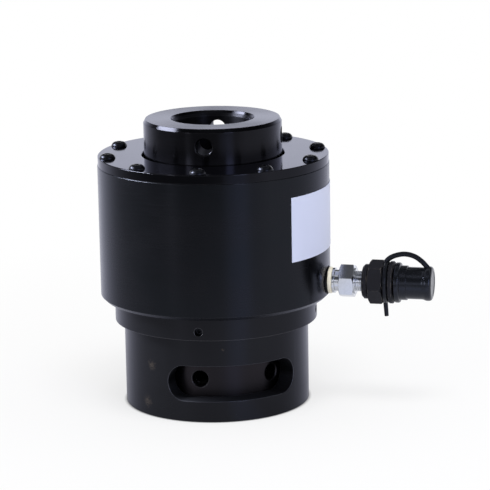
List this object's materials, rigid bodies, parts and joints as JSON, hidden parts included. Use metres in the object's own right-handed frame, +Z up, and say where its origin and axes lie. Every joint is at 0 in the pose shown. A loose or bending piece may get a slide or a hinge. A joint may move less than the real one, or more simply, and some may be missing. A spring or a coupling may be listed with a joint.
{
  "type": "hydraulic bolt tensioner",
  "caption": "Black steel hydraulic bolt tensioner: windowed bridge with nut socket, ring cylinder with spring return piston, threaded puller and a capped quick-connect oil port.",
  "frame": {"origin": "on the bolt axis, at the foot plane of the bridge, where the nut bears on the joint", "axes": "+Z up the stud, +X out along the oil port and its coupling"},
  "size_m": [0.211, 0.145, 0.1805],
  "materials": {
    "black_oxide_steel": "satin black oxide over fine turning marks",
    "black_screw_steel": "black oxide",
    "ground_steel": "ground",
    "spring_steel": "oiled",
    "zinc_plated_steel": "bright zinc plate",
    "ivory_washer": "moulded",
    "seal_rubber": "moulded",
    "guide_plastic": "machined",
    "valve_brass": "turned",
    "tether_rubber": "moulded",
    "cap_rubber": "glossy moulded",
    "label_film": "satin film"
  },
  "bodies": {
    "bridge": {"bridge": "black_oxide_steel", "bridge_set_screws": "black_screw_steel"},
    "nut_socket": {"nut_socket": "black_oxide_steel"},
    "cylinder": {"cylinder_body": "black_oxide_steel", "cover_plate": "black_oxide_steel", "cover_screws": "black_screw_steel", "return_springs": "spring_steel", "inner_seal": "seal_rubber", "inner_backup_ring": "guide_plastic", "inner_guide_ring": "guide_plastic", "port_seal_washer": "ivory_washer", "port_adapter": "zinc_plated_steel", "coupler_nipple": "black_oxide_steel", "valve_stop": "valve_brass", "valve_spring": "spring_steel", "tether_ring": "tether_rubber", "tether_strap": "tether_rubber", "label": "label_film"},
    "piston": {"piston": "ground_steel", "outer_seal": "seal_rubber", "outer_backup_ring": "guide_plastic", "outer_guide_ring": "guide_plastic"},
    "puller": {"puller": "black_oxide_steel"},
    "dust_cap": {"dust_cap": "cap_rubber"},
    "valve_poppet": {"valve_poppet": "valve_brass", "poppet_seal": "seal_rubber"}
  },
  "joints": [
    {"name": "cylinder_swivel", "type": "hinge", "parent": "bridge", "child": "cylinder", "pos_m": [0, 0, 0.068], "axis": [0, 0, 1], "continuous": true},
    {"name": "socket_spin", "type": "hinge", "parent": "bridge", "child": "nut_socket", "pos_m": [0, 0, 0.044], "axis": [0, 0, 1], "continuous": true},
    {"name": "piston_stroke", "type": "slide", "parent": "cylinder", "child": "piston", "axis": [0, 0, 1], "range_m": [0, 0.01], "stiffness_N_per_m": 30000, "springref_m": -0.01, "deforming": ["return_springs"]},
    {"name": "puller_spin", "type": "hinge", "parent": "piston", "child": "puller", "pos_m": [0, 0, 0.142], "axis": [0, 0, 1], "continuous": true},
    {"name": "dust_cap_pull", "type": "slide", "parent": "cylinder", "child": "dust_cap", "axis": [1, 0, 0], "range_m": [0, 0.018], "deforming": ["tether_strap"]},
    {"name": "poppet_push", "type": "slide", "parent": "cylinder", "child": "valve_poppet", "axis": [-1, 0, 0], "range_m": [0, 0.0025], "stiffness_N_per_m": 1500, "springref_m": -0.002, "deforming": ["valve_spring"]}
  ]
}
